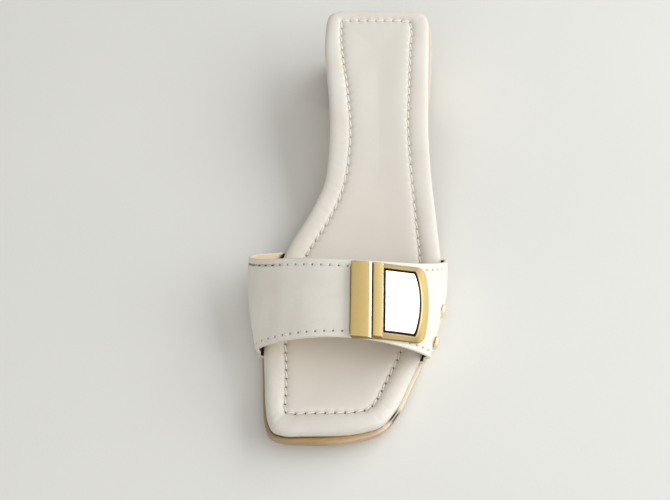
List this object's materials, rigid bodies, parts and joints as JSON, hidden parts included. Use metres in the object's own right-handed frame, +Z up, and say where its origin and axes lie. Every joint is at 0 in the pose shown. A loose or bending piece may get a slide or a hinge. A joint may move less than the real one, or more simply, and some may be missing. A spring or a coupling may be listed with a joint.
{
  "type": "low block-heel leather mule, left shoe",
  "caption": "Open-toe, open-back clog-style mule with one wide leather band, a metal buckle, a padded footbed and a low block heel.",
  "frame": {"origin": "on the floor under the middle of the shoe's overall box", "axes": "+Y from the toe back to the heel, +X to the outer (lateral) side of the left foot, +Z up"},
  "size_m": [0.1054, 0.2554, 0.0528],
  "materials": {
    "cream_leather": "smooth matt cream leather, tan lining inside the band",
    "cream_footbed": "smooth cream leather wrapped over thin foam, stitched border",
    "tan_sole": "tan sole leather, pale striped edge",
    "tan_heel": "stacked tan leather look",
    "brown_rubber": "matt dark brown rubber",
    "brushed_brass": "brushed brass, polished edges",
    "polished_brass": "mirror-polished brass"
  },
  "bodies": {
    "root": {"upper": "cream_leather", "footbed": "cream_footbed", "outsole": "tan_sole", "heel_block": "tan_heel", "heel_top_piece": "brown_rubber", "buckle_frame": "brushed_brass", "buckle_wide_bar": "brushed_brass", "buckle_narrow_bar": "brushed_brass", "buckle_panel": "polished_brass", "stud_front": "polished_brass", "stud_rear": "polished_brass"}
  },
  "joints": []
}
